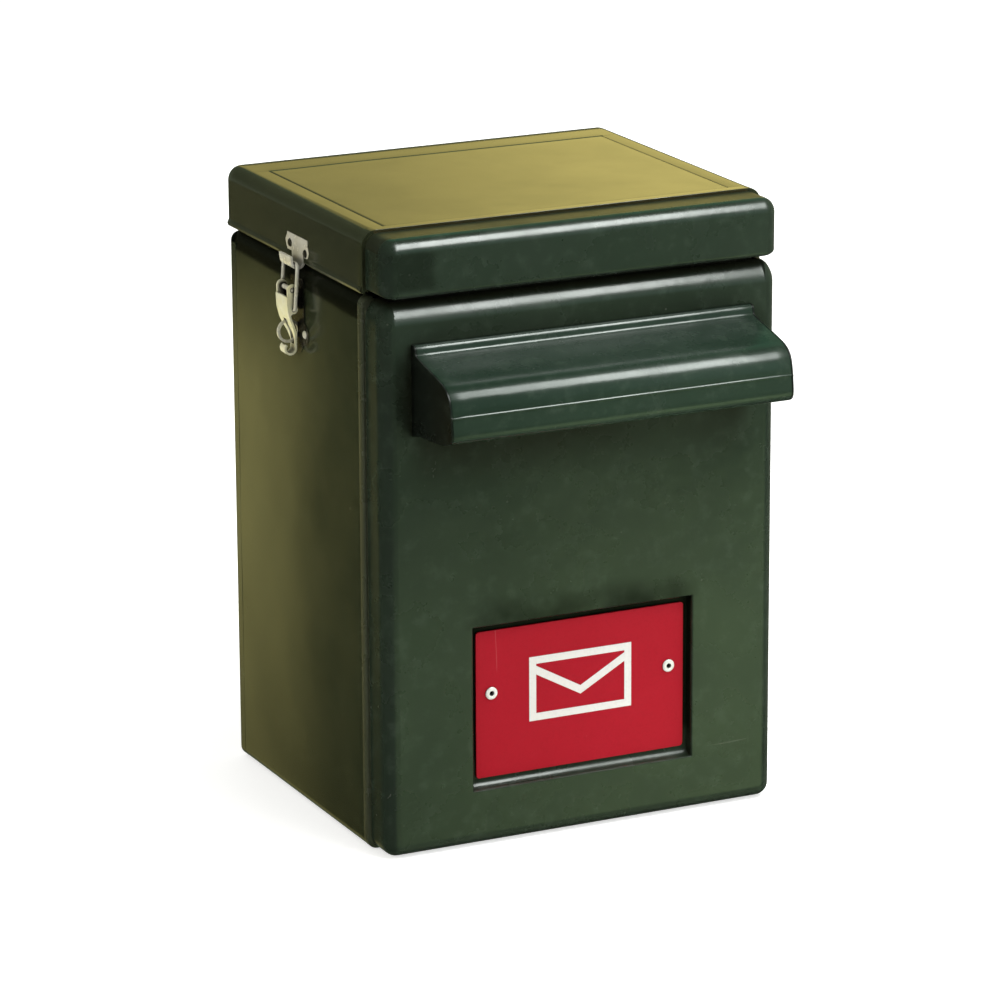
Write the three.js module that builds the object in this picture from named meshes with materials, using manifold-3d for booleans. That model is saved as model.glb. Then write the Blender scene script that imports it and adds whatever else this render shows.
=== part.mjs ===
// Sheet-metal mailbox: wrapped body with a pressed front pan, hooded letter slot, riveted label plate,
// side-hinged lid and an over-centre wire-bail latch. Millimetres, +Z up, front faces -Y, left is -X.
// Origin: middle of the lower face of the back rim, in the plane the box stands on.
// Pieces are drawn with Y = 0 at the front face; the group shifts them to the origin.
import * as THREE from 'three';
import { mergeVertices } from 'three/addons/utils/BufferGeometryUtils.js';
import Module from 'manifold-3d';

const wasm = await Module();
wasm.setup();

// ---------------------------------------------------------------- driving dimensions
const SHEET = 1.2;             // sheet thickness
const GAP = 0.3;               // clearance between neighbouring parts
const RIVET_GAP = 0.1;         // clearance under parts riveted to a side
const TINY_R = 0.01;           // stands for a sharp corner
const DEPTH = 218.2;           // body, front face to back face

const PAN = { half: 129, bottom: 0.6, lowR: 8.5, highR: 6 };    // body front pan
const EDGE_R = 8.5;            // rounded front edges of both pressed pans
const WRAP_HALF = 129.5;
const WRAP_BOTTOM = 1.3;
const WRAP_LOW_R = 5;
const WRAP_HIGH_R = 5.5;
const BODY_TOP = 337;
const SHOULDER = { w: 5.5, h: 12 };   // rolled top edges of the body wrap, across and down
const NECK = { half: 119.5, front: 10.1, back: 208.1, bottom: 322, top: 352, r: 6, fold: 6 };
const HEM = { front: 24.2, back: 31.4, out: 1.3, t: 1 };        // rear hem of both pans
const PAN_BACK = HEM.front + SHEET;
const SEAM = PAN_BACK + GAP;   // front edge of both wraps
const RIM = 7;                 // width of the back panel's lapped rim

const LID = { half: 128.85, front: -2.5, back: 222.6, bottom: 340.4, top: 375.5, r: 7.5 };

const HOOD_HALF = 110.9;
const SLOT = { half: 103, z0: 260, z1: 290, r: 2 };
const RECESS = { half: 72.6, z0: 35.3, z1: 136.5, depth: 6, fillet: 6 };
const PLATE = { half: 69, z0: 41.3, z1: 132.2, t: 1.4, r: 2, holeX: 59, holeZ: 93.5, holeR: 2.3 };

// Latch on the left side. "out" is the distance out from the body wrap's left face.
const LATCH_Y = 117;
const LID_OUT = LID.half - WRAP_HALF;
const STRIKE = { inner: LID_OUT + RIVET_GAP, t: 1.5, bendR: 3.2, bendZ: 341.3, half: 15 };
const STRIKE_OUT = STRIKE.inner + STRIKE.t;
const BASE_OUT = 1.6;
const PIVOT = { out: 8, z: 324.5, r: 1.5, bore: 1.66 };
const BAIL_PIN = { out: 7.4, z: 312.5, bore: 1.4 };
const BAIL_TOP = { out: 5.3, z: 340 };
const BAIL = { r: 1.2, half: 10.2, endY: 6.7, bend: 2.6, footIn: 1.6, footUp: 1.7 };
const LEVER = { half: 8.4, t: 1.3, flangeT: 1.4 };

// Rivet places on a side, as [y, z].
const RIVET_HOLE_R = 1.5;
const STRIKE_RIVETS = [[LATCH_Y - 11.4, 346.4], [LATCH_Y + 10.7, 348.8]];
const BASE_RIVETS = [-1, 1].map(side => [LATCH_Y + side * 10.7, 297.2]);

// Hinges on the right side. Leaf heights are measured from the pin; knuckles count from the front.
const HINGE = {
  x: 132.3, z: 338.7, length: 50, knuckles: 5, knuckleGap: 0.2,
  barrelR: 2.6, boreR: 1.46, pinR: 1.3, leafT: 1.2, rivetY: 16,
};
const HINGE_YS = { front: 58, rear: 162 };    // middles of the two hinges
const LEAVES = {
  body: { half: WRAP_HALF, near: -3.2, far: -20, rivet: -14, knuckles: [0, 2, 4] },
  lid: { half: LID.half, near: 3.2, far: 18, rivet: 12, knuckles: [1, 3] },
};

// ---------------------------------------------------------------- materials
const greenPaint = new THREE.MeshStandardMaterial({ color: 0x1d2f22, roughness: 0.22, metalness: 0.1 });
const darkPaint = new THREE.MeshStandardMaterial({ color: 0x141613, roughness: 0.4, metalness: 0.1 });
const redPaint = new THREE.MeshStandardMaterial({ color: 0xb32433, roughness: 0.35, metalness: 0 });
const nickel = new THREE.MeshStandardMaterial({ color: 0xb9b08c, roughness: 0.35, metalness: 0.9 });
const steel = new THREE.MeshStandardMaterial({ color: 0x9a9a94, roughness: 0.4, metalness: 0.9 });
const eyeletPaint = new THREE.MeshStandardMaterial({ color: 0xe8e6de, roughness: 0.4, metalness: 0.2 });

// ---------------------------------------------------------------- solids and meshes
const root = new THREE.Group();
root.position.set(0, -(DEPTH - RIM / 2), 0);

function solid(geometry) {
  const bare = geometry.clone();
  for (const name of Object.keys(bare.attributes)) {
    if (name !== 'position') bare.deleteAttribute(name);
  }
  const merged = mergeVertices(bare, 1e-4);
  return new wasm.Manifold(new wasm.Mesh({
    numProp: 3,
    vertProperties: new Float32Array(merged.attributes.position.array),
    triVerts: new Uint32Array(merged.index.array),
  }));
}

function geometryOf(manifold) {
  const mesh = manifold.getMesh();
  const geometry = new THREE.BufferGeometry();
  const positions = new Float32Array(mesh.vertProperties);
  geometry.setAttribute('position', new THREE.BufferAttribute(positions, 3));
  geometry.setIndex(new THREE.BufferAttribute(new Uint32Array(mesh.triVerts), 1));
  geometry.computeVertexNormals();
  return geometry;
}

// Adds a named mesh made from a geometry or a solid.
function add(name, part, material) {
  const mesh = new THREE.Mesh(part.isBufferGeometry ? part : geometryOf(part), material);
  mesh.name = name;
  root.add(mesh);
}

// Box between two opposite corners, in either order along each axis.
function box(x0, x1, y0, y1, z0, z1) {
  const geometry = new THREE.BoxGeometry(Math.abs(x1 - x0), Math.abs(y1 - y0), Math.abs(z1 - z0));
  return solid(geometry.translate((x0 + x1) / 2, (y0 + y1) / 2, (z0 + z1) / 2));
}

function extrude(shape, depth) {
  return new THREE.ExtrudeGeometry(shape, { depth, bevelEnabled: false, curveSegments: 3 });
}

// A shape drawn in Y,Z and extruded from x0 to x1, as a geometry and as a solid.
function extrudeX(shape, x0, x1) {
  const yzx = new THREE.Matrix4().makeBasis(
    new THREE.Vector3(0, 1, 0), new THREE.Vector3(0, 0, 1), new THREE.Vector3(1, 0, 0));
  return extrude(shape, x1 - x0).applyMatrix4(yzx).translate(x0, 0, 0);
}

function alongX(shape, x0, x1) {
  return solid(extrudeX(shape, x0, x1));
}

// A shape drawn in X,Z and extruded from y0 to y1.
function alongY(shape, y0, y1) {
  return solid(extrude(shape, y1 - y0).rotateX(Math.PI / 2).translate(0, y1, 0));
}

// A shape drawn in X,Y and extruded from z0 to z1.
function alongZ(shape, z0, z1) {
  return solid(extrude(shape, z1 - z0).translate(0, 0, z0));
}

// Cylinder along Y centred on a point, as a geometry and as a solid.
function rodGeometry(radius, length, [x, y, z], segments = 16) {
  return new THREE.CylinderGeometry(radius, radius, length, segments).translate(x, y, z);
}

function rod(radius, length, centre, segments) {
  return solid(rodGeometry(radius, length, centre, segments));
}

// A turned geometry about the Y axis from a profile of [radius, height].
function turned(profile, segments) {
  return new THREE.LatheGeometry(profile.map(([r, h]) => new THREE.Vector2(r, h)), segments);
}

// ---------------------------------------------------------------- outlines
// Rectangle from (a0, b0) to (a1, b1), radii in order low-left, low-right, high-right, high-left.
function rounded(a0, b0, a1, b1, [lowLeft, lowRight, highRight, highLeft]) {
  const quarter = Math.PI / 2;
  const shape = new THREE.Shape();
  const corner = (a, b, radius, turn) => {
    if (radius) shape.absarc(a, b, radius, turn * quarter, (turn + 1) * quarter, false);
  };
  shape.moveTo(a0 + lowLeft, b0);
  shape.lineTo(a1 - lowRight, b0);
  corner(a1 - lowRight, b0 + lowRight, lowRight, -1);
  shape.lineTo(a1, b1 - highRight);
  corner(a1 - highRight, b1 - highRight, highRight, 0);
  shape.lineTo(a0 + highLeft, b1);
  corner(a0 + highLeft, b1 - highLeft, highLeft, 1);
  shape.lineTo(a0, b0 + lowLeft);
  corner(a0 + lowLeft, b0 + lowLeft, lowLeft, 2);
  return shape;
}

function polygon(points) {
  return new THREE.Shape(points.map(([a, b]) => new THREE.Vector2(a, b)));
}

// Points on an arc between two angles in degrees.
function arcPoints(a, b, radius, from, to, steps) {
  return Array.from({ length: steps + 1 }, (_, i) => {
    const angle = (from + (to - from) * i / steps) * Math.PI / 180;
    return [a + radius * Math.cos(angle), b + radius * Math.sin(angle)];
  });
}

function direction(from, to) {
  const length = Math.hypot(to[0] - from[0], to[1] - from[1]);
  return [(to[0] - from[0]) / length, (to[1] - from[1]) / length];
}

// Outline of a sheet lying to the left of an open path, or to the right for a negative thickness.
function sheetOutline(path, thickness) {
  const offset = path.map((point, i) => {
    const arriving = i > 0 ? direction(path[i - 1], point) : direction(point, path[1]);
    const leaving = i < path.length - 1 ? direction(point, path[i + 1]) : arriving;
    const normal = [-(arriving[1] + leaving[1]), arriving[0] + leaving[0]];
    const length = Math.hypot(...normal);
    const cos = (normal[1] * arriving[0] - normal[0] * arriving[1]) / length;
    return point.map((value, axis) => value + normal[axis] / length * thickness / cos);
  });
  return [...path, ...offset.reverse()];
}

// Body wrap's outline in X,Z, grown outwards; the top edge can grow by its own amount.
function wrapOutline(grow, topGrow = grow) {
  const half = WRAP_HALF + grow;
  const low = WRAP_LOW_R + grow;
  const high = WRAP_HIGH_R + topGrow;
  return rounded(-half, WRAP_BOTTOM - grow, half, BODY_TOP + topGrow, [low, low, high, high]);
}

// Lid wrap's outline in X,Z, grown outwards on the sides and top.
function lidOutline(grow) {
  const half = LID.half + grow;
  const r = LID.r + grow;
  return rounded(-half, LID.bottom, half, LID.top + grow, [0, 0, r, r]);
}

// ---------------------------------------------------------------- rivets
// Cuts rivet holes along X through the wall near x, at places of [y, z].
function withRivetHoles(part, x, places) {
  return places.reduce((rest, [y, z]) => {
    const hole = new THREE.CylinderGeometry(RIVET_HOLE_R, RIVET_HOLE_R, 12, 12);
    return rest.subtract(solid(hole.rotateZ(Math.PI / 2).translate(x, y, z)));
  }, part);
}

// A rivet along X: tail inside the box at innerX, domed head outside. side is -1 left, 1 right.
function addRivet(name, side, innerX, grip, [y, z], material) {
  const profile = [
    [0, -0.9], [1.8, -0.9], [2.0, -0.15], [1.15, -0.15], [1.15, grip + 0.05],
    [2.6, grip + 0.05], [2.6, grip + 0.1], [2.1, grip + 0.75], [1.2, grip + 1.1], [0, grip + 1.2],
  ];
  const rivet = turned(profile, 10).rotateX(Math.PI / 2).rotateY(side * Math.PI / 2);
  add(name, solid(rivet.translate(innerX, y, z)), material);
}

function hingeRivets(middleY, leaf) {
  return [-1, 1].map(side => [middleY + side * HINGE.rivetY, HINGE.z + leaf.rivet]);
}

function withHingeHoles(part, leaf) {
  const places = Object.values(HINGE_YS).flatMap(y => hingeRivets(y, leaf));
  return withRivetHoles(part, leaf.half, places);
}

// ---------------------------------------------------------------- pressed pans
// Solid block with rounded front edges, as three crossed extrusions. inset shrinks it evenly.
function panBlock({ half, front, bottom, top, corners, bottomR }, inset) {
  const shrunk = radius => Math.max(radius - inset, TINY_R);
  const [x, y, z0, z1] = [half - inset, front + inset, bottom + inset, top - inset];
  const edge = shrunk(EDGE_R);
  const past = PAN_BACK + 20;
  const face = alongY(rounded(-x, z0, x, z1, corners.map(shrunk)), front, PAN_BACK);
  const plan = alongZ(rounded(-x, y, x, past, [edge, edge, 0, 0]), bottom - 5, top + 5);
  const profile = rounded(y, z0, past, z1, [shrunk(bottomR), 0, 0, edge]);
  return face.intersect(plan).intersect(alongX(profile, -half - 5, half + 5));
}

// Hem stepping out behind a pan and lapping over the wrap. outline(grow) is the wrap's outline.
function panHem(outline, opening) {
  return alongY(outline(HEM.out), HEM.front, HEM.back)
    .subtract(alongY(outline(GAP), HEM.front + HEM.t, HEM.back + 1))
    .subtract(alongY(opening, HEM.front - 1, HEM.front + 2));
}

// ---------------------------------------------------------------- body
// Recess for the label plate, with a large fillet along its foot.
function labelRecess(grow) {
  const { half, z0, z1, depth, fillet } = RECESS;
  return alongX(polygon([
    [-5, z0 - grow], [0, z0 - grow],
    ...arcPoints(0, z0 + fillet, fillet + grow, -90, 0, 5).slice(1),
    [depth + grow, z1 + grow], [-5, z1 + grow],
  ]), -half - grow, half + grow);
}

function withEyeletHoles(part) {
  return [-1, 1].reduce((rest, side) => (
    rest.subtract(rod(PLATE.holeR, 20, [side * PLATE.holeX, 5, PLATE.holeZ]))
  ), part);
}

function bodyFrontPan() {
  const corners = [PAN.lowR, PAN.lowR, PAN.highR, PAN.highR];
  const form = { ...PAN, front: 0, top: BODY_TOP, corners, bottomR: EDGE_R };
  const hollow = panBlock(form, SHEET).subtract(labelRecess(SHEET));
  const opening = rounded(
    -PAN.half + SHEET, PAN.bottom + SHEET, PAN.half - SHEET, BODY_TOP - SHEET,
    corners.map(r => r - SHEET));
  const neckX = NECK.half + GAP;
  const pan = panBlock(form, 0)
    .subtract(labelRecess(0))
    .subtract(hollow)
    .add(panHem(wrapOutline, opening))
    .subtract(box(-neckX, neckX, NECK.front - GAP, 60, 330, 345));
  const slot = rounded(-SLOT.half, SLOT.z0, SLOT.half, SLOT.z1, Array(4).fill(SLOT.r));
  return withEyeletHoles(pan.subtract(alongY(slot, -2, 5)));
}

// Elliptical roll at the top of one side of the wrap.
function shoulderPoints(side, from, to) {
  return arcPoints(0, 0, 1, from, to, 7).map(([across, up]) => [
    side * (WRAP_HALF - SHOULDER.w) + SHOULDER.w * across,
    BODY_TOP - SHOULDER.h + SHOULDER.h * up,
  ]);
}

// Left side, floor and right side in one sheet, its top edges rolled in to the collar.
function bodyWrap() {
  const cornerX = WRAP_HALF - WRAP_LOW_R;
  const cornerZ = WRAP_BOTTOM + WRAP_LOW_R;
  const path = [
    [-NECK.half - GAP, BODY_TOP],
    ...shoulderPoints(-1, 90, 180),
    ...arcPoints(-cornerX, cornerZ, WRAP_LOW_R, 180, 270, 5),
    ...arcPoints(cornerX, cornerZ, WRAP_LOW_R, 270, 360, 5),
    ...shoulderPoints(1, 0, 90),
    [NECK.half + GAP, BODY_TOP],
  ];
  const wrap = alongY(polygon(sheetOutline(path, SHEET)), SEAM, DEPTH - 1.6);
  return withHingeHoles(withRivetHoles(wrap, -WRAP_HALF, BASE_RIVETS), LEAVES.body);
}

// Back sheet with its rim lapped over the wrap and two pressed bosses holding the wall keyholes.
function bodyBackPanel() {
  const keyhole = { x: 70, z: 285, bossR: 16, hollowR: 14.6, bossH: 5.4, holeR: 5, slotHalf: 2.5 };
  const flangeX = NECK.half - 0.2;
  const rim = alongY(wrapOutline(HEM.out, 0), DEPTH - RIM, DEPTH)
    .subtract(alongY(wrapOutline(GAP, 0), DEPTH - 8, DEPTH + 1))
    .subtract(box(-140, 140, DEPTH - 8, DEPTH + 1, BODY_TOP - 6, BODY_TOP + 5));
  let back = alongY(wrapOutline(HEM.out, 0), DEPTH - SHEET, DEPTH)
    .add(rim)
    .add(box(-flangeX, flangeX, NECK.back + GAP, DEPTH - 0.1, BODY_TOP - SHEET, BODY_TOP));
  for (const side of [-1, 1]) {
    const { z, bossH, slotHalf } = keyhole;
    const x = side * keyhole.x;
    back = back
      .add(rod(keyhole.bossR, bossH, [x, DEPTH + 2.7, z], 24))
      .subtract(rod(keyhole.hollowR, bossH, [x, DEPTH + 1.3, z], 24))
      .subtract(rod(keyhole.holeR, 12, [x, DEPTH + 3, z - 4]))
      .subtract(box(x - slotHalf, x + slotHalf, DEPTH - 3, DEPTH + 9, z - 4, z + 7));
  }
  return back;
}

// Collar that the lid closes over, double thickness at its folded top edge.
function neckFrame() {
  const ring = (inset) => {
    const x = NECK.half - inset;
    const radii = Array(4).fill(NECK.r - inset);
    return rounded(-x, NECK.front + inset, x, NECK.back - inset, radii);
  };
  const foldZ = NECK.top - NECK.fold;
  return alongZ(ring(0), NECK.bottom, NECK.top)
    .subtract(alongZ(ring(SHEET), NECK.bottom - 2, foldZ))
    .subtract(alongZ(ring(2 * SHEET), foldZ - 1, NECK.top + 1));
}

add('body_front_pan', bodyFrontPan(), greenPaint);
add('body_wrap', bodyWrap(), greenPaint);
add('body_back_panel', bodyBackPanel(), greenPaint);
add('neck_frame', neckFrame(), darkPaint);

// ---------------------------------------------------------------- hood over the letter slot
// Outer face as [y, z], from the pan forwards, down the front and back under the lip.
const hoodPath = [
  [-GAP, 311.4], [-2.0, 311.0], [-3.6, 310.0], [-4.6, 308.6], [-6.0, 307.2],
  [-8.6, 306.4], [-12.4, 305.6], [-25.8, 302.6], [-38.6, 299.8], [-43.6, 298.4],
  [-47.0, 296.8], [-49.4, 294.6], [-51.0, 291.8], [-52.2, 287.6], [-53.2, 280.5],
  [-54.0, 273.0], [-53.8, 269.6], [-52.6, 267.2], [-50.0, 265.5], [-44.0, 263.6],
];
// Lower edge of the hood ends as [y, z], from the lip back to the pan.
const hoodEndFoot = [[-30, 261.9], [-12, 260.9], [-GAP, 258.2]];

function hoodShell() {
  const half = HOOD_HALF - SHEET - GAP;
  return alongX(polygon(sheetOutline(hoodPath, SHEET)), -half, half)
    .intersect(box(-150, 150, -100, -GAP, 200, 340));
}

function hoodEnd(x0) {
  return extrudeX(polygon([...hoodPath, ...hoodEndFoot]), x0, x0 + SHEET);
}

add('hood_shell', hoodShell(), greenPaint);
add('hood_end_left', hoodEnd(-HOOD_HALF), greenPaint);
add('hood_end_right', hoodEnd(HOOD_HALF - SHEET), greenPaint);

// ---------------------------------------------------------------- label plate
const PLATE_BACK = RECESS.depth - GAP;
const PLATE_FRONT = PLATE_BACK - PLATE.t;

function labelPlate() {
  const outline = rounded(-PLATE.half, PLATE.z0, PLATE.half, PLATE.z1, Array(4).fill(PLATE.r));
  return withEyeletHoles(alongY(outline, PLATE_FRONT, PLATE_BACK));
}

function eyelet(side) {
  // [radius, distance back from the eyelet's face]
  const profile = [
    [1.5, 0.25], [1.8, 0], [3.3, 0], [3.9, 0.6], [3.9, 1.1], [2.0, 1.1],
    [2.0, 4.6], [3.2, 4.6], [3.0, 5.4], [1.5, 5.4], [1.5, 0.25],
  ];
  const geometry = turned(profile, 16);
  return solid(geometry.translate(side * PLATE.holeX, PLATE_FRONT - 1.2, PLATE.holeZ));
}

add('label_plate', labelPlate(), redPaint);
add('label_eyelet_left', eyelet(-1), eyeletPaint);
add('label_eyelet_right', eyelet(1), eyeletPaint);

// ---------------------------------------------------------------- lid
function lidFrontPan() {
  const half = LID.half - 0.4;
  const top = LID.top - 0.3;
  const bottom = LID.bottom + 0.2;
  const bottomR = 3;
  const corners = [bottomR, bottomR, LID.r, LID.r];
  const form = { half, front: LID.front, bottom, top, corners, bottomR };
  // the hollow opens downwards, leaving a lip turned in round the foot
  const lip = 6;
  const hollow = panBlock(form, SHEET)
    .add(box(-half + lip, half - lip, LID.front + lip, 30, bottom - 5, bottom + 10));
  const r = LID.r - SHEET;
  const opening = rounded(-half + SHEET, bottom - 5, half - SHEET, top - SHEET, [0, 0, r, r]);
  const wrapX = LID.half + GAP;
  const hem = panHem(lidOutline, opening).subtract(
    box(-wrapX, wrapX, HEM.front + HEM.t, HEM.back + 1, LID.bottom - 5, LID.bottom + 5));
  return panBlock(form, 0).subtract(hollow).add(hem);
}

function lidWrap() {
  const cornerX = LID.half - LID.r;
  const cornerZ = LID.top - LID.r;
  const path = [
    [LID.half, LID.bottom],
    ...arcPoints(cornerX, cornerZ, LID.r, 0, 90, 6),
    ...arcPoints(-cornerX, cornerZ, LID.r, 90, 180, 6),
    [-LID.half, LID.bottom],
  ];
  // pressed line running round the top
  const line = { half: 113, front: 36, back: 199, width: 1.6, depth: 0.45 };
  const innerX = line.half - line.width;
  const groove = box(-line.half, line.half, line.front, line.back, LID.top - line.depth, LID.top + 2)
    .subtract(box(-innerX, innerX, line.front + line.width, line.back - line.width,
      LID.top - 3, LID.top + 3));
  const wrap = alongY(polygon(sheetOutline(path, SHEET)), SEAM, LID.back).subtract(groove);
  return withHingeHoles(withRivetHoles(wrap, -LID.half, STRIKE_RIVETS), LEAVES.lid);
}

// Tray inside the lid's rear end, its side and top flanges turned forwards.
function lidBackPanel() {
  const outline = (inset, bottom) => {
    const x = LID.half - SHEET - GAP - inset;
    const r = LID.r - 1.6;
    return rounded(-x, bottom, x, LID.top - SHEET - GAP - inset, [TINY_R, TINY_R, r, r]);
  };
  const bottom = LID.bottom + 1;
  const back = LID.back - 0.6;
  return alongY(outline(0, bottom), LID.back - 9, back)
    .subtract(alongY(outline(SHEET, bottom - 10), LID.back - 12, back - SHEET));
}

add('lid_front_pan', lidFrontPan(), greenPaint);
add('lid_wrap', lidWrap(), greenPaint);
add('lid_back_panel', lidBackPanel(), greenPaint);

// ---------------------------------------------------------------- latch frame
// In these helpers y is measured from the middle of the latch.
function leftX(out) {
  return -WRAP_HALF - out;
}

// Points of [out, z], extruded from y0 to y1.
function latchProfile(points, y0, y1) {
  const outline = polygon(points.map(([out, z]) => [leftX(out), z]));
  return alongY(outline, LATCH_Y + y0, LATCH_Y + y1);
}

// Points of [y, z], extruded between two distances out.
function latchPlate(points, inner, outer) {
  const outline = polygon(points.map(([y, z]) => [LATCH_Y + y, z]));
  return alongX(outline, leftX(outer), leftX(inner));
}

function latchBox(inner, outer, y0, y1, z0, z1) {
  return box(leftX(outer), leftX(inner), LATCH_Y + y0, LATCH_Y + y1, z0, z1);
}

function latchPoint(out, y, z) {
  return [leftX(out), LATCH_Y + y, z];
}

// ---------------------------------------------------------------- latch, fixed parts
function strikePlate() {
  const { inner, t, bendR, bendZ, half } = STRIKE;
  const outerR = bendR + t;
  const bendOut = inner + outerR;
  const hookPath = [
    [inner, 355],
    ...arcPoints(bendOut, bendZ, outerR, 180, 360, 8),
    [bendOut + outerR + 0.4, 344.6],
  ];
  let plate = latchProfile(sheetOutline(hookPath, t), -half, half);
  // the lower hook is narrower than the ears, so the two wires of the bail pass either side of it
  for (const side of [-1, 1]) {
    plate = plate
      .subtract(latchBox(1.6, 14, side * 8.5, side * 20, 330, 350))
      .subtract(latchBox(-2, 14, side * 8.5, side * 20, 330, 344.4));
  }
  // ears with the rivets, as [y, z]
  const ears = [
    [-15.4, 344.6], [-13.6, 343.6], [-9.6, 343.6], [-8.2, 344.4], [13.0, 344.4], [16.0, 346.0],
    [17.6, 349.8], [15.2, 353.4], [11, 355], [-12, 352.6], [-15.6, 350.6], [-16.6, 347.4],
  ];
  return withRivetHoles(plate.add(latchPlate(ears, inner, STRIKE_OUT)), leftX(0), STRIKE_RIVETS);
}

function latchBase() {
  // rear half of the symmetric outline as [y, z], from the foot up
  const half = [
    [3, 284.4], [5, 285.5], [8, 289.5], [14, 291.8], [16, 294.5],
    [16, 299], [14, 301.6], [10, 304], [9.5, 329], [8, 330.5],
  ];
  const mirrored = half.map(([y, z]) => [-y, z]).reverse();
  let base = latchPlate([...half, ...mirrored], RIVET_GAP, BASE_OUT);
  // two cheeks carry the pivot pin
  const cheek = [
    [0.8, 311.5], [3.0, 312.1],
    ...arcPoints(PIVOT.out, PIVOT.z, 2.3, -48, 215, 9),
    [3.2, 320.1], [0.8, 317.9],
  ];
  for (const y of [-5.2, 5.2]) base = base.add(latchProfile(cheek, y - 0.6, y + 0.6));
  base = base.subtract(rod(PIVOT.bore, 30, latchPoint(PIVOT.out, 0, PIVOT.z)));
  return withRivetHoles(base, leftX(0), BASE_RIVETS);
}

// Flat ring standing out from the base, cut off just clear of it.
function padlockEye() {
  const centre = latchPoint(7.6, 0, 298);
  return rod(7.2, 1.8, centre, 32)
    .subtract(rod(5.7, 4, centre, 28))
    .subtract(latchBox(-4, BASE_OUT + RIVET_GAP, -3, 3, 285, 310));
}

function addLatchRivets(name, places, inner, outer) {
  ['front', 'rear'].forEach((end, i) => {
    addRivet(`${name}_${end}`, -1, leftX(inner), outer - inner, places[i], nickel);
  });
}

add('strike_plate', strikePlate(), nickel);
addLatchRivets('strike_rivet', STRIKE_RIVETS, LID_OUT - SHEET, STRIKE_OUT);
addLatchRivets('latch_base_rivet', BASE_RIVETS, -SHEET, BASE_OUT);
add('latch_base', latchBase(), nickel);
add('padlock_eye', padlockEye(), nickel);
add('lever_pivot_pin', rodGeometry(PIVOT.r, 17, latchPoint(PIVOT.out, 0, PIVOT.z)), nickel);

// ---------------------------------------------------------------- latch, moving parts
function latchLever() {
  // face as [out, z], from near the pivot down to the curled finger tip
  const face = [
    [11.8, 320.4], [11.7, 317], [11.4, 312], [9.8, 305.8], [7.6, 300.6], [5.8, 296.5], [4.95, 292.4],
    ...arcPoints(7.7, 287.7, 2.75, 172, 405, 12),
  ];
  // side flange as [out, z], round the bail pin and the pivot
  const flange = [
    [11.2, 319.6], [10.8, 312], [9.9, 308.8],
    ...arcPoints(BAIL_PIN.out, BAIL_PIN.z, 2.6, 285, 150, 6),
    [4.9, 319.5],
    ...arcPoints(PIVOT.out, PIVOT.z, 3.4, 200, -15, 10),
  ];
  // cut beside the finger tongue as [y, z], on the rear side
  const tipCut = [[3.6, 280], [12, 280], [12, 303], [8.4, 303], [5.4, 296], [3.6, 293]];

  let lever = latchProfile(sheetOutline(face, -LEVER.t), -LEVER.half, LEVER.half);
  for (const side of [-1, 1]) {
    const inner = side * (LEVER.half - LEVER.flangeT);
    const outer = side * LEVER.half;
    lever = lever.add(latchProfile(flange, Math.min(inner, outer), Math.max(inner, outer)));
  }
  for (const side of [-1, 1]) {
    for (const { out, z, bore } of [PIVOT, BAIL_PIN]) {
      lever = lever.subtract(rod(bore, 4, latchPoint(out, side * (LEVER.half - 0.6), z)));
    }
    lever = lever.subtract(latchPlate(tipCut.map(([y, z]) => [side * y, z]), 2, 20));
  }
  // slot that passes over the padlock eye
  return lever.subtract(latchBox(2, 20, -2, 2, 290, 306));
}

// Closed-top wire loop, its two feet turned in to the lever's flanges.
function bailWire() {
  const { half, endY, bend, footIn, footUp } = BAIL;
  const length = BAIL_TOP.z - BAIL_PIN.z;
  // rise runs from 0 at the bail pin to 1 at the top
  const at = (y, rise) => new THREE.Vector3(...latchPoint(
    BAIL_PIN.out + (BAIL_TOP.out - BAIL_PIN.out) * rise, y, BAIL_PIN.z + length * rise));
  const corner = (...controls) => new THREE.QuadraticBezierCurve3(...controls).getPoints(4);
  const footRise = footUp / length;
  const bendRise = 1 - bend / length;
  const points = [
    at(-endY, 0), at(-half + 1.7, 0),
    ...corner(at(-half + footIn, 0), at(-half, 0), at(-half, footRise)),
    ...corner(at(-half, bendRise), at(-half, 1), at(-half + bend, 1)),
    ...corner(at(half - bend, 1), at(half, 1), at(half, bendRise)),
    ...corner(at(half, footRise), at(half, 0), at(half - footIn, 0)),
    at(half - 1.7, 0), at(endY, 0),
  ];
  const path = new THREE.CurvePath();
  points.slice(1).forEach((point, i) => path.add(new THREE.LineCurve3(points[i], point)));
  const round = new THREE.Shape();
  round.absarc(0, 0, BAIL.r, 0, 2 * Math.PI, false);
  return solid(new THREE.ExtrudeGeometry(round, {
    steps: 48, bevelEnabled: false, extrudePath: path, curveSegments: 4,
  }));
}

add('latch_lever', latchLever(), nickel);
add('bail_wire', bailWire(), nickel);

// ---------------------------------------------------------------- hinges on the right side
function hingeLeaf(middleY, leaf) {
  const y0 = middleY - HINGE.length / 2;
  const pitch = HINGE.length / HINGE.knuckles;
  const x0 = leaf.half + RIVET_GAP;
  const x1 = x0 + HINGE.leafT;
  const nearZ = HINGE.z + leaf.near;
  let part = box(x0, x1, y0, y0 + HINGE.length, nearZ, HINGE.z + leaf.far);
  for (const k of leaf.knuckles) {
    const start = y0 + k * pitch + HINGE.knuckleGap;
    const end = y0 + (k + 1) * pitch - HINGE.knuckleGap;
    part = part
      .add(rod(HINGE.barrelR, end - start, [HINGE.x, (start + end) / 2, HINGE.z], 18))
      .add(box(x0, x1, start, end, nearZ, HINGE.z));
  }
  part = part.subtract(rod(HINGE.boreR, HINGE.length + 4, [HINGE.x, middleY, HINGE.z], 14));
  return withRivetHoles(part, x0, hingeRivets(middleY, leaf));
}

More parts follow.
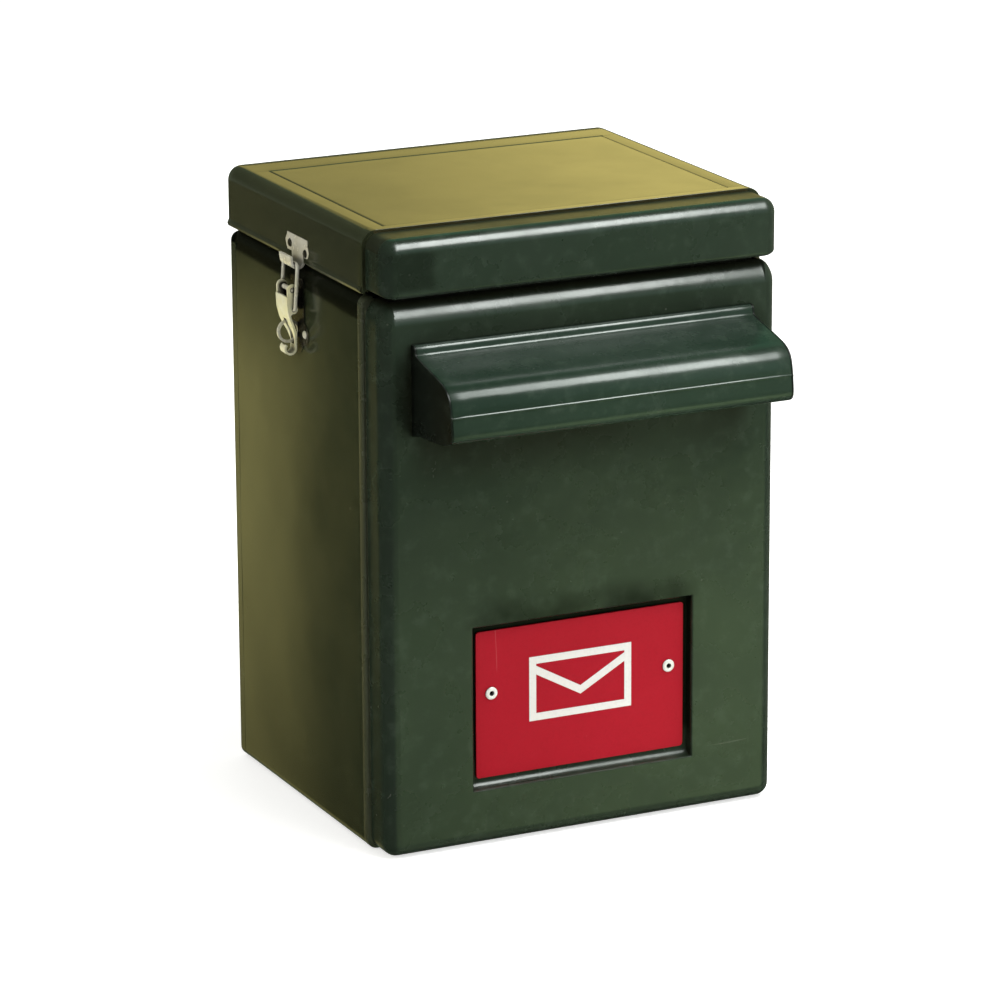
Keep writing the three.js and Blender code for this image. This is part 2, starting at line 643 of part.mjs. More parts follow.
function addHinge(name, middleY) {
  for (const [key, leaf] of Object.entries(LEAVES)) {
    add(`${name}_leaf_${key}`, hingeLeaf(middleY, leaf), steel);
  }
  const pin = rodGeometry(HINGE.pinR, HINGE.length + 1, [HINGE.x, middleY, HINGE.z], 14);
  add(`${name}_pin`, pin, steel);
  const grip = SHEET + RIVET_GAP + HINGE.leafT;
  ['a', 'b'].forEach((tag, i) => {
    for (const [key, leaf] of Object.entries(LEAVES)) {
      const place = hingeRivets(middleY, leaf)[i];
      addRivet(`${name}_${key}_rivet_${tag}`, 1, leaf.half - SHEET, grip, place, steel);
    }
  });
}

for (const [key, middleY] of Object.entries(HINGE_YS)) addHinge(`hinge_${key}`, middleY);

export default root;
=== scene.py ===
"""A green painted sheet-metal box with a lid, a sloping hood over a front slot, and a red label plate
in a pressed recess. The front faces -Y, the width runs along X and Z is up. Shapes are in
millimetres, with Y from the body's front face and Z from the pan bottom; to_row_frame takes them
to the row frame in metres. Shader, light and reflector sizes are in the row frame's metres."""
import math
from collections import namedtuple

import bmesh
import bpy
import numpy as np
from mathutils import Matrix, Vector, noise

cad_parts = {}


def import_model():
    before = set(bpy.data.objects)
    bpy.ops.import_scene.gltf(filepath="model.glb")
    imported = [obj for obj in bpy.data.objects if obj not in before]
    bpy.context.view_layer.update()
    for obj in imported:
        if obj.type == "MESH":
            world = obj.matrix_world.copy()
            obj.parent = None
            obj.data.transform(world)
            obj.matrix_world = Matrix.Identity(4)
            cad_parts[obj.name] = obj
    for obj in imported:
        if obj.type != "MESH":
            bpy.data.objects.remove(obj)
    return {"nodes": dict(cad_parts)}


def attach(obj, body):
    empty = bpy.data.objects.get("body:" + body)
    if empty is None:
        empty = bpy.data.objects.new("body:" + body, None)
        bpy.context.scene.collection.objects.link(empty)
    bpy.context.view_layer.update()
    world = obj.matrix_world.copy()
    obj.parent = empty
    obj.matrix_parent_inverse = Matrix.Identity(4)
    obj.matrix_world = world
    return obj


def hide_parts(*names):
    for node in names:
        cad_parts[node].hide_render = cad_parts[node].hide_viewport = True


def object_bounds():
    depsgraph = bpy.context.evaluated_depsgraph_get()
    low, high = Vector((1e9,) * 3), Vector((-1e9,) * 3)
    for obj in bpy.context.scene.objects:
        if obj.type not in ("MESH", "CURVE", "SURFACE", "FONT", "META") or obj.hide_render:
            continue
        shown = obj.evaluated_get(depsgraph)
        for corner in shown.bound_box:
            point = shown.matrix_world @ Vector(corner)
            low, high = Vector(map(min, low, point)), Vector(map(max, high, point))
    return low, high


cad_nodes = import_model()["nodes"]
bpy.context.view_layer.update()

# ------------------------------------------------------------------ dimensions, mm
DEPTH = 218.2
ROW_INSET = 3.5             # the row frame's origin lies this far in front of DEPTH
SHEET = 1.2                 # sheet thickness

BODY_HALF, BODY_BOTTOM, BODY_TOP = 129.0, 0.6, 337.0
WRAP_HALF, WRAP_BOTTOM, WRAP_BACK = 129.5, 1.3, DEPTH - 1.6
WRAP_LOW_RADIUS = 5.0
SHOULDER_WIDTH, SHOULDER_HEIGHT = 5.5, 12.0
NECK_HALF = 119.5
NECK_EDGE = NECK_HALF + 0.3

LID_HALF, LID_BOTTOM, LID_TOP = 128.85, 340.4, 375.5
LID_FRONT, LID_BACK, LID_RADIUS = -2.5, 222.6, 7.5
PANEL_HALF, PANEL_BACK = 112.6, 198.0      # pressed line on the lid's top

SEAM = 25.7                 # front edge of the wraps
HEM_FRONT, HEM_BACK, HEM_OUT = 24.2, 31.4, 1.3
WRAP_SECOND_Y = 33.0        # a fixed mesh line just behind the hems

RECESS_HALF, RECESS_BOTTOM, RECESS_TOP, RECESS_DEPTH = 72.6, 35.3, 136.5, 6.0
SLOT_HALF, SLOT_BOTTOM, SLOT_TOP = 103, 260, 290
HOOD_HALF = 110.9
WALL_GAP = -0.3             # the hood stops this far in front of the body


def to_row_frame(point):
    x, y, z = point
    return x / 1000.0, (y - DEPTH + ROW_INSET) / 1000.0, z / 1000.0


# ------------------------------------------------------------------ shader graphs
def rgba(value):
    return (*value, 1.0) if isinstance(value, tuple) else value


class Graph:
    """An emptied node tree with its output node. Methods return sockets, except node."""

    def __init__(self, owner, output_kind="ShaderNodeOutputMaterial"):
        owner.use_nodes = True
        self.tree = owner.node_tree
        self.tree.nodes.clear()
        self.output = self.node(output_kind)

    def node(self, kind, inputs=None, **settings):
        made = self.tree.nodes.new(kind)
        for key, value in settings.items():
            setattr(made, key, value)
        for key, value in (inputs or {}).items():
            if isinstance(value, bpy.types.NodeSocket):
                self.tree.links.new(value, made.inputs[key])
            else:
                made.inputs[key].default_value = value
        return made

    def finish(self, shader):
        self.tree.links.new(shader.outputs[0], self.output.inputs[0])

    def math(self, operation, a, b=0.0, clamp=False):
        return self.node("ShaderNodeMath", {0: a, 1: b}, operation=operation,
                         use_clamp=clamp).outputs[0]

    def add(self, a, b, clamp=False):
        return self.math("ADD", a, b, clamp)

    def sub(self, a, b):
        return self.math("SUBTRACT", a, b)

    def mul(self, a, b):
        return self.math("MULTIPLY", a, b)

    def max(self, a, b):
        return self.math("MAXIMUM", a, b)

    def ramp(self, value, start, end, to=(0.0, 1.0), smooth=True):
        """to[0] where value is at start, to[1] at end, held beyond both."""
        ranges = {"Value": value, "From Min": start, "From Max": end,
                  "To Min": to[0], "To Max": to[1]}
        kind = "SMOOTHSTEP" if smooth else "LINEAR"
        return self.node("ShaderNodeMapRange", ranges, clamp=True,
                         interpolation_type=kind).outputs[0]

    def mix(self, factor, a, b):
        return self.node("ShaderNodeMix", {0: factor, 6: rgba(a), 7: rgba(b)},
                         data_type="RGBA", blend_type="MIX").outputs[2]

    def noise(self, place, scale, detail=3.0, rough=0.5, distortion=0.0):
        values = {"Vector": place, "Scale": scale, "Detail": detail, "Roughness": rough,
                  "Distortion": distortion}
        return self.node("ShaderNodeTexNoise", values).outputs[0]

    def coordinates(self, kind="Object"):
        return self.node("ShaderNodeTexCoord").outputs[kind]

    def xyz(self, vector):
        return self.node("ShaderNodeSeparateXYZ", {0: vector}).outputs

    def scaled(self, place, scale):
        return self.node("ShaderNodeMapping", {"Vector": place, "Scale": scale}).outputs[0]

    def bump(self, height):
        return self.node("ShaderNodeBump", {"Strength": 1.0, "Distance": 1.0,
                                            "Height": height}).outputs[0]

    def openness(self, distance):
        """1 in the open, lower in corners and under overhangs."""
        return self.node("ShaderNodeAmbientOcclusion", {"Distance": distance},
                         samples=8).outputs["AO"]

    def specks(self, place, scale, share, size):
        """1 inside small scattered dots; share is the part of the cells that has one."""
        cells = self.node("ShaderNodeTexVoronoi", {"Vector": place, "Scale": scale})
        dot = self.ramp(cells.outputs["Distance"], size, size * 0.55)
        channels = self.node("ShaderNodeSeparateColor", {0: cells.outputs["Color"]})
        return self.mul(dot, self.math("LESS_THAN", channels.outputs[0], share))

    def scratches(self, place, stretch, scale, threshold):
        """1 on thin stretched marks."""
        marks = self.noise(self.scaled(place, stretch), scale, detail=2.0, rough=0.6,
                           distortion=0.4)
        return self.ramp(marks, threshold, threshold + 0.03)


def new_material(name):
    material = bpy.data.materials.new(name)
    return material, Graph(material)


# ------------------------------------------------------------------ paint
# Local details take the graph, object coordinates, their x y z, the colour and the specular
# level, and return the changed colour and level.
def hood_shelter(g, place, at, base, level):
    """The hood's upper slope and nose take less of the studio light."""
    low, high = 0.2985, 0.3060      # height range of the slope
    slope = g.mul(g.ramp(at["Z"], high + 0.0007, high - 0.0009),
                  g.ramp(at["Z"], low - 0.0007, low + 0.0009))
    level = g.mul(level, g.ramp(slope, 0.0, 1.0, to=(1.0, 0.32), smooth=False))
    nose = g.mul(g.ramp(at["Z"], 0.2800, 0.2840), g.ramp(at["Z"], low + 0.0012, low - 0.0012))
    kept = g.ramp(at["X"], -0.110, 0.105, to=(0.36, 1.0))
    return base, g.mul(level, g.sub(1.0, g.mul(nose, g.sub(1.0, kept))))


def face_shadows(g, place, at, base, level):
    """Painted shade on the front: darker recess walls, a soft dark patch above them, one at the lid's
    left end, and a brownish painted shadow under the hood, with the reflection dulled where they lie.
    """
    side = g.math("ABSOLUTE", at["X"])
    in_recess = g.mul(g.ramp(side, 0.0745, 0.0735),
                      g.mul(g.ramp(at["Z"], 0.048, 0.056), g.ramp(at["Z"], 0.140, 0.139)))
    # painted shade on the recess walls
    deep = g.mul(g.ramp(at["Y"], -0.2140, -0.2126), in_recess)

    # painted shade: a soft dark patch above the recess
    painted_shade_patch = g.mul(g.ramp(side, 0.082, 0.058),
                  g.mul(g.ramp(at["Z"], 0.158, 0.1385), g.ramp(at["Z"], 0.1350, 0.1365)))
    cloud = g.noise(place, 34.0, rough=0.55)
    painted_shade_patch = g.mul(painted_shade_patch, g.ramp(cloud, 0.30, 0.65, to=(0.20, 0.75)))

    # painted shade at the left end of the lid's front
    painted_lid_end_shade = g.mul(g.ramp(at["X"], -0.092, -0.101), g.ramp(at["X"], -0.127, -0.118))
    painted_lid_end_shade = g.mul(painted_lid_end_shade, g.mul(g.ramp(at["Z"], 0.343, 0.347),
                                   g.ramp(at["Z"], 0.370, 0.365)))
    painted_shade_patch = g.max(painted_shade_patch, g.mul(painted_lid_end_shade, 0.50))

    # painted shadow under the hood, in a brownish dark colour
    under = g.mul(g.ramp(at["Z"], 0.216, 0.256), g.ramp(side, 0.118, 0.098))
    under = g.mul(under, g.mul(g.ramp(at["Y"], -0.219, -0.2165),
                               g.ramp(at["Z"], 0.300, 0.290)))
    cloud = g.noise(g.scaled(place, (0.5, 1.0, 1.0)), 30.0, detail=2.0)
    under = g.mul(under, g.ramp(cloud, 0.25, 0.70, to=(0.55, 1.0)))
    base = g.mix(g.mul(under, 0.65), base, (0.011, 0.007, 0.003))
    level = g.mul(level, g.ramp(under, 0.0, 1.0, to=(1.0, 0.45), smooth=False))

    # the painted recess shade and dark patches together darken the colour and dull the reflection
    dark = g.max(g.mul(deep, 0.85), painted_shade_patch)
    base = g.mix(dark, base, (0.003, 0.004, 0.002))
    return base, g.mul(level, g.ramp(dark, 0.0, 1.0, to=(1.0, 0.12), smooth=False))


def painted_lid_shadow_band(g, place, at, base, level):
    """Painted shadow: a dark band on the side just under the lid, deeper towards the front, where the
    reflection is dulled too.
    """
    edge = g.add(g.ramp(at["Y"], -0.21, 0.0, to=(0.3238, 0.3275)),
                 g.mul(g.noise(place, 60.0, detail=2.0), -0.0012))
    above = g.sub(at["Z"], edge)
    band = g.mul(g.ramp(above, -0.0016, 0.0016), g.ramp(at["Z"], 0.3384, 0.3374))
    base = g.mix(g.mul(band, 0.82), base, (0.003, 0.003, 0.002))
    return base, g.mul(level, g.ramp(band, 0.0, 1.0, to=(1.0, 0.12)))


def paint(name, dark, light, rough=(0.13, 0.20), wave=0.0004, speck=(0.30, 0.31, 0.24),
          rub=(0.10, 0.14, 0.10), mottle=0.12, specular=0.5, brush=0.12, shade=None,
          detail=None):
    """Brushed-on paint. wave is the height of its long waves, brush the share of the finer
    ones, mottle the strength of the rub colour and shade the colour of the painted shade in corners."""
    material, g = new_material(name)
    place = g.coordinates()
    at = g.xyz(place)

    broad = g.noise(place, 7.0)
    fine = g.noise(place, 110.0, detail=4.0, rough=0.6)
    grain = g.noise(place, 620.0, detail=2.0, rough=0.6)
    base = g.mix(g.ramp(broad, 0.30, 0.70), dark, light)
    base = g.mix(g.ramp(fine, 0.48, 0.80, to=(0.0, mottle)), base, rub)
    base = g.mix(g.ramp(grain, 0.45, 0.75, to=(0.0, 0.12)), base, tuple(c * 0.5 for c in dark))

    # dust specks and hairline marks along Z and X
    dots = g.specks(place, 240.0, share=0.012, size=0.20)
    upright = g.scratches(place, (1.0, 1.0, 0.06), 230.0, threshold=0.765)
    level_marks = g.scratches(place, (0.05, 1.0, 1.0), 210.0, threshold=0.76)
    marks = g.mul(g.max(upright, level_marks), 0.16)
    worn = g.max(g.mul(dots, 0.10), marks)
    base = g.mix(worn, base, speck)
    gloss = g.ramp(g.noise(place, 22.0, detail=5.0, rough=0.6), 0.30, 0.72, to=rough)
    roughness = g.add(gloss, g.mul(worn, 0.5), clamp=True)

    # hand-finished sheet: long waves, small dents, orange peel
    height = g.mul(g.noise(place, 16.0, detail=2.0, rough=0.45), wave)
    height = g.add(height, g.mul(g.noise(place, 60.0, detail=2.0), wave * brush))
    height = g.add(height, g.mul(g.noise(place, 420.0, detail=2.0), 0.000010))

    # painted shade: the colour is darkened and the reflection dulled in corners and under overhangs,
    # except near the floor
    shut = g.mul(g.sub(1.0, g.openness(0.045)), g.ramp(at["Z"], 0.0, 0.045, to=(0.12, 1.0)))
    clear = g.sub(1.0, shut)
    base = g.mix(g.ramp(clear, 0.25, 0.97, to=(0.75, 0.0)), base,
                 shade or tuple(c * 0.3 for c in dark))
    level = g.ramp(clear, 0.35, 0.98, to=(specular * 0.10, specular))
    if detail:
        base, level = detail(g, place, at, base, level)
    g.finish(g.node("ShaderNodeBsdfPrincipled", {
        "Base Color": base, "Roughness": roughness, "Specular IOR Level": level,
        "Normal": g.bump(height)}))
    return material


green = paint("green_gloss_paint", (0.014, 0.022, 0.014), (0.018, 0.028, 0.017))
# front paint: a brownish painted shade in its corners, plus the painted shade and shadows of
# face_shadows
green_face = paint(
    "green_gloss_paint_face", (0.014, 0.024, 0.015), (0.019, 0.031, 0.019),
    rough=(0.23, 0.34), mottle=0.16, brush=0.55, shade=(0.010, 0.008, 0.004),
    detail=face_shadows)
green_hood = paint(
    "green_gloss_paint_hood", (0.014, 0.028, 0.018), (0.020, 0.038, 0.024),
    rough=(0.20, 0.30), mottle=0.16, brush=0.40, detail=hood_shelter)
# hood end plates: a near-black copy of the green paint, painted shade for the shade they sit in
green_end = paint(
    "green_gloss_paint_hood_end", (0.006, 0.008, 0.006), (0.008, 0.011, 0.008),
    rough=(0.25, 0.35), specular=0.35)
# lid side: a copy of the green paint tinted olive, painted warm light for how this side is lit
olive_lid = paint(
    "green_gloss_paint_lid_side", (0.030, 0.035, 0.019), (0.037, 0.042, 0.023),
    rub=(0.10, 0.10, 0.06))
flange = paint(
    "green_gloss_paint_flange", (0.018, 0.022, 0.012), (0.022, 0.027, 0.014),
    rough=(0.30, 0.42), specular=0.20)
# hems: a lighter copy of the green paint, a painted highlight along the seams
hem = paint(
    "green_gloss_paint_hem", (0.043, 0.050, 0.029), (0.054, 0.061, 0.036),
    rough=(0.22, 0.32), rub=(0.12, 0.12, 0.08), specular=0.42)
hem_lead = paint(
    "green_gloss_paint_hem_lead", (0.050, 0.045, 0.018), (0.060, 0.054, 0.022),
    rough=(0.40, 0.50), rub=(0.12, 0.12, 0.08), specular=0.16)
# body side: a copy of the green paint tinted olive as painted warm light, carrying the painted shadow
# band under the lid
olive = paint(
    "green_gloss_paint_side", (0.020, 0.027, 0.0135), (0.025, 0.032, 0.0155),
    rub=(0.09, 0.09, 0.05), detail=painted_lid_shadow_band)
# lid top: a copy of the green paint tinted yellow-olive, a painted reflection of the warm light on
# the top
olive_top = paint(
    "green_gloss_paint_top", (0.027, 0.033, 0.016), (0.034, 0.039, 0.019),
    rough=(0.11, 0.17), wave=0.0002, rub=(0.12, 0.11, 0.06), mottle=0.10)
# neck: painted near-black, painted shade for the shaded gap under the lid
neck_paint = paint(
    "neck_dark_paint", (0.008, 0.008, 0.006), (0.012, 0.012, 0.009),
    rough=(0.35, 0.55), rub=(0.04, 0.04, 0.03))
red = paint(
    "red_enamel", (0.395, 0.0065, 0.018), (0.43, 0.0080, 0.021), rough=(0.35, 0.45),
    wave=0.0001, speck=(0.6, 0.25, 0.25), rub=(0.48, 0.02, 0.035), specular=0.10)
white = paint(
    "white_enamel", (0.80, 0.78, 0.74), (0.86, 0.84, 0.81), rough=(0.35, 0.5),
    wave=0.00005, speck=(0.55, 0.35, 0.33), rub=(0.74, 0.66, 0.62), specular=0.3)


# ------------------------------------------------------------------ metals
def metal(name, tint, tint2, rough=(0.22, 0.5), metallic=0.9, dirt=0.3, reach=0.006):
    """Plated metal: a cloudy tint, a little grime, and painted shade darkening corners within reach.
    """
    grime_and_shade = (0.10, 0.085, 0.05)
    material, g = new_material(name)
    place = g.coordinates()
    cloud = g.noise(place, 90.0)
    fine = g.noise(place, 300.0, rough=0.55)
    base = g.mix(g.ramp(cloud, 0.35, 0.66), tint, tint2)
    base = g.mix(g.ramp(fine, 0.55, 0.80, to=(0.0, dirt)), base, grime_and_shade)
    # painted shade: corners darkened within reach, towards a very dark grime colour
    corners = g.ramp(g.openness(reach), 0.35, 0.90, to=(0.93, 0.0))
    base = g.mix(corners, base, tuple(c * 0.12 for c in grime_and_shade))
    g.finish(g.node("ShaderNodeBsdfPrincipled", {
        "Base Color": base, "Roughness": g.ramp(fine, 0.3, 0.75, to=rough),
        "Metallic": metallic, "Normal": g.bump(g.mul(fine, 0.00003))}))
    return material


nickel = metal("plated_metal", (0.88, 0.84, 0.66), (0.95, 0.93, 0.80),
               rough=(0.16, 0.30), metallic=0.35)
# lever: a brighter, nearly unmetallic copy of the plating, a painted highlight so its face reads as
# lit
lever_metal = metal("plated_metal_lever", (0.96, 0.92, 0.58), (0.99, 0.97, 0.72),
                    rough=(0.14, 0.26), metallic=0.12)
# latch base: a dark copy of the plating, painted shade for the shade it sits in
nickel_dark = metal("plated_metal_shaded", (0.050, 0.047, 0.040), (0.10, 0.095, 0.080),
                    rough=(0.15, 0.30), metallic=0.85)
rivet_metal = metal("rivet_metal", (0.10, 0.095, 0.075), (0.18, 0.17, 0.13),
                    rough=(0.15, 0.30), metallic=0.85)
steel = metal("hinge_steel", (0.50, 0.50, 0.47), (0.62, 0.62, 0.58), metallic=0.6)
eyelet_metal = metal("eyelet_metal", (0.90, 0.88, 0.82), (0.95, 0.94, 0.91),
                     rough=(0.3, 0.45), metallic=0.15, dirt=0.15, reach=0.003)


# ------------------------------------------------------------------ mesh helpers
def link_mesh(name, points, faces, materials):
    """A new mesh object from points in metres."""
    mesh = bpy.data.meshes.new(name)
    mesh.from_pydata(points, [], faces)
    made = bpy.data.objects.new(name, mesh)
    bpy.context.scene.collection.objects.link(made)
    for material in materials:
        mesh.materials.append(material)
    return made


def smooth(piece, angle, weight):
    mesh = piece.data
    mesh.set_sharp_from_angle(angle=math.radians(angle))
    normals = piece.modifiers.new("normals", "WEIGHTED_NORMAL")
    normals.keep_sharp = True
    normals.weight = weight


def add_piece(name, verts, faces, materials, body, covers=(), sheet=0.0,
              face_materials=()):
    """A welded piece riding on body, in place of the CAD nodes in covers."""
    piece = link_mesh(name, [to_row_frame(v) for v in verts], faces, materials)
    mesh = piece.data
    for polygon, index in zip(mesh.polygons, face_materials):
        polygon.material_index = index
    bm = bmesh.new()
    bm.from_mesh(mesh)
    bmesh.ops.remove_doubles(bm, verts=bm.verts, dist=2e-6)
    loose = [v for v in bm.verts if not v.link_faces]
    bmesh.ops.delete(bm, geom=loose, context="VERTS")
    bm.to_mesh(mesh)
    bm.free()
    if sheet:
        solid = piece.modifiers.new("sheet", "SOLIDIFY")
        solid.thickness = sheet / 1000.0
        solid.offset = -1.0
        solid.use_even_offset = True
    mesh.polygons.foreach_set("use_smooth", [True] * len(mesh.polygons))
    smooth(piece, angle=35.0, weight=60)
    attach(piece, body)
    if covers:
        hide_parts(*covers)


def catmull(points, steps):
    """A smooth path through points, with this many steps a span."""
    p = [np.array(q, float) for q in points]
    p = [2 * p[0] - p[1]] + p + [2 * p[-1] - p[-2]]
    path = []
    for a, b, c, d in zip(p, p[1:], p[2:], p[3:]):
        for k in range(steps):
            t = k / steps
            path.append(0.5 * ((2 * b) + (-a + c) * t + (2 * a - 5 * b + 4 * c - d) * t * t
                               + (-a + 3 * b - 3 * c + d) * t ** 3))
    path.append(p[-2])
    return [tuple(q) for q in path]


def arc(centre_x, centre_z, radius, start, end, steps):
    angles = [math.radians(start + (end - start) * i / steps) for i in range(steps + 1)]
    return [(centre_x + radius * math.cos(a), centre_z + radius * math.sin(a)) for a in angles]


def left_normals(path):
    """The unit normal on the left of a 2D path at each point."""
    normals = []
    for i in range(len(path)):
        a, b = path[max(i - 1, 0)], path[min(i + 1, len(path) - 1)]
        along, up = b[0] - a[0], b[1] - a[1]
        length = math.hypot(along, up)
        normals.append((-up / length, along / length))
    return normals


def refine(path, step):
    """A 2D path with extra points so that no gap is over step."""
    dense = [path[0]]
    for a, b in zip(path, path[1:]):
        n = max(1, math.ceil(math.hypot(b[0] - a[0], b[1] - a[1]) / step))
        dense += [(a[0] + (b[0] - a[0]) * k / n, a[1] + (b[1] - a[1]) * k / n)
                  for k in range(1, n + 1)]
    return dense


def fill(lines, step):
    """Sorted coordinates with extra ones so that no gap is over step."""
    lines = sorted(set(round(v, 4) for v in lines))
    filled = []
    for a, b in zip(lines, lines[1:]):
        n = max(1, math.ceil((b - a) / step - 1e-6))
        filled += [a + (b - a) * i / n for i in range(n)]
    return filled + [lines[-1]]


def unevenness(x, y, z, size, seed):
    return noise.noise(Vector((x / size + seed, y / size + seed * 1.7, z / size - seed)))


def fade(distance, over):
    """0 up to distance 0, rising to 1 at distance over."""
    return min(1.0, max(0.0, distance / over))


# ------------------------------------------------------------------ pressed front pans
# A point on the edge of the flat face, its outward offset to the pan's outline, and its edge.
Sample = namedtuple("Sample", "x z out_x out_z edge")
# The outline that a hem follows.
Outline = namedtuple("Outline", "half bottom top low_radius high_radius")

PAN_SIDE_RADIUS = 8.5
PAN_STEP = 7.0              # widest mesh gap on the face
PAN_FADE = 12.0             # the face's unevenness dies out over this distance to its edge
ROUND_STEPS = 7
ROUND_DEPTH_LIMIT = 9.9
FLANGE_YS = (10.0, 17.0, HEM_FRONT - 0.9)
# hem profile: (growth beyond the outline, y)
HEM_ROOT = [(-0.45, HEM_FRONT)]
SOFT_LEAD = [(0.35, HEM_FRONT + 0.05), (0.95, HEM_FRONT + 0.5), (HEM_OUT, HEM_FRONT + 1.5)]
CRISP_LEAD = [(HEM_OUT - 0.15, HEM_FRONT), (HEM_OUT, HEM_FRONT + 0.15)]
HEM_TAIL = [(HEM_OUT, HEM_BACK - 1.0), (HEM_OUT - 0.35, HEM_BACK - 0.2),
            (HEM_OUT - 0.9, HEM_BACK)]
# material slots of a pan
FACE, HEM, FLANGE, LEAD = range(4)


class Pan:
    """A pressed pan: face grid, rounded edges, side flange and lapped hem."""

    def __init__(self, half, front, bottom, top, top_radius, bottom_radius, x_lines, z_lines,
                 outline, open_edge, open_half, swell, seed, sink=lambda x, z: 0.0,
                 holes=(), crisp=False):
        self.front, self.top_radius, self.bottom_radius = front, top_radius, bottom_radius
        self.core_half = half - PAN_SIDE_RADIUS
        self.core_bottom, self.core_top = bottom + bottom_radius, top - top_radius
        self.xs = fill([-self.core_half, self.core_half] + x_lines, PAN_STEP)
        self.zs = fill([self.core_bottom, self.core_top] + z_lines, PAN_STEP)
        self.outline = outline
        # the flange and hem are left out along open_edge, up to open_half from the middle
        self.open_edge, self.open_half = open_edge, open_half
        self.swell, self.seed = swell, seed
        self.sink, self.holes = sink, holes
        self.crisp = crisp          # sharp hem lead, with its own lead and flange paint

    def radius(self, upper):
        return self.top_radius if upper else self.bottom_radius

    def face_y(self, x, z):
        inside = (fade(self.core_half - abs(x), PAN_FADE)
                  * fade(z - self.core_bottom, PAN_FADE) * fade(self.core_top - z, PAN_FADE))
        uneven = self.swell * inside * unevenness(x, 0, z, 62.0, self.seed)
        return self.front + self.sink(x, z) + uneven

    def face(self):
        xs, zs = self.xs, self.zs
        verts = [(x, self.face_y(x, z), z) for x in xs for z in zs]
        rows, faces = len(zs), []
        for i in range(len(xs) - 1):
            for j in range(rows - 1):
                x, z = (xs[i] + xs[i + 1]) / 2, (zs[j] + zs[j + 1]) / 2
                if any(a < x < b and c < z < d for a, b, c, d in self.holes):
                    continue
                corner = i * rows + j
                faces.append((corner, corner + rows, corner + rows + 1, corner + 1))
        return verts, faces

    def corner(self, side, rise, start, end):
        x = self.xs[-1] if side > 0 else self.xs[0]
        z = self.zs[-1] if rise > 0 else self.zs[0]
        return [Sample(x, z, side * PAN_SIDE_RADIUS * math.cos(math.radians(t)),
                       rise * self.radius(rise > 0) * math.sin(math.radians(t)), "corner")
                for t in np.linspace(start, end, 9)[1:-1]]

    def samples(self):
        """Around the face, anticlockwise seen from the front, from the lower left."""
        xs, zs = self.xs, self.zs
        around = [Sample(x, zs[0], 0.0, -self.bottom_radius, "bottom") for x in xs]
        around += self.corner(1, -1, 90, 0)
        around += [Sample(xs[-1], z, PAN_SIDE_RADIUS, 0.0, "side") for z in zs]
        around += self.corner(1, 1, 0, 90)
        around += [Sample(x, zs[-1], 0.0, self.top_radius, "top") for x in reversed(xs)]
        around += self.corner(-1, 1, 90, 0)
        around += [Sample(xs[0], z, -PAN_SIDE_RADIUS, 0.0, "side") for z in reversed(zs)]
        around += self.corner(-1, -1, 0, 90)
        return around

    def rounded(self, s, angle):
        depth = {"corner": math.hypot(s.out_x, s.out_z), "side": PAN_SIDE_RADIUS}.get(
            s.edge, abs(s.out_z))
        depth = min(ROUND_DEPTH_LIMIT, depth)
        # the deep top edge is a flatter shoulder
        power = 1.22 if s.edge == "top" and depth == ROUND_DEPTH_LIMIT else 1.0
        return (s.x + s.out_x * math.sin(angle),
                self.front + depth * (1 - math.cos(angle) ** power),
                s.z + s.out_z * math.sin(angle) ** power)

    def hem_point(self, s, grow, y):
        """The sample carried to the hem's outline, which follows the wrap's corners."""
        line = self.outline
        upper = s.out_z > 0
        radius = line.high_radius if upper else line.low_radius
        low, high = line.bottom + line.low_radius, line.top - line.high_radius
        if s.edge == "corner":
            side, rise = (1 if s.x > 0 else -1), (1 if upper else -1)
            angle = math.atan2(abs(s.out_z) / self.radius(upper),
                               abs(s.out_x) / PAN_SIDE_RADIUS)
            x = side * (line.half - radius) + side * (radius + grow) * math.cos(angle)
            z = (high if upper else low) + rise * (radius + grow) * math.sin(angle)
        elif s.edge == "side":
            x = math.copysign(line.half + grow, s.out_x)
            z = low + (s.z - self.zs[0]) / (self.zs[-1] - self.zs[0]) * (high - low)
        else:
            x = s.x / self.core_half * (line.half - radius)
            z = line.top + grow if upper else line.bottom - grow
        return x, y, z

    def rings(self, around):
        """From the face's edge back: the rounding, the flange, the hem."""
        rings = [[(s.x, self.front + self.sink(s.x, s.z), s.z) for s in around]]
        for k in range(1, ROUND_STEPS + 1):
            angle = math.radians(90.0 * k / ROUND_STEPS)
            rings.append([self.rounded(s, angle) for s in around])
        for y in FLANGE_YS:
            rings.append([(s.x + s.out_x, y, s.z + s.out_z) for s in around])
        for grow, y in HEM_ROOT + (CRISP_LEAD if self.crisp else SOFT_LEAD) + HEM_TAIL:
            rings.append([self.hem_point(s, grow, y) for s in around])
        return rings

    def is_open(self, level, a, b):
        return (level > ROUND_STEPS and a.edge == b.edge == self.open_edge
                and max(abs(a.x), abs(b.x)) <= self.open_half)

    def band_material(self, level, s):
        hem_level = ROUND_STEPS + len(FLANGE_YS)
        if level >= hem_level:
            return LEAD if self.crisp and s.edge == "top" and level <= hem_level + 1 else HEM
        upper = s.edge in ("top", "corner") and s.out_z > 0
        return FLANGE if self.crisp and upper and level >= ROUND_STEPS else FACE

    def build(self, name, materials, body, covers):
        verts, faces = self.face()
        face_materials = [FACE] * len(faces)
        around = self.samples()
        rings = self.rings(around)
        count, start = len(around), len(verts)
        for ring in rings:
            verts += ring
        for level in range(len(rings) - 1):
            near = start + level * count
            far = near + count
            for i, s in enumerate(around):
                j = (i + 1) % count
                if self.is_open(level, s, around[j]):
                    continue
                faces.append((near + i, far + i, far + j, near + j))
                face_materials.append(self.band_material(level, s))
        add_piece(name, verts, faces, materials, body, covers=covers, sheet=SHEET,
                  face_materials=face_materials)


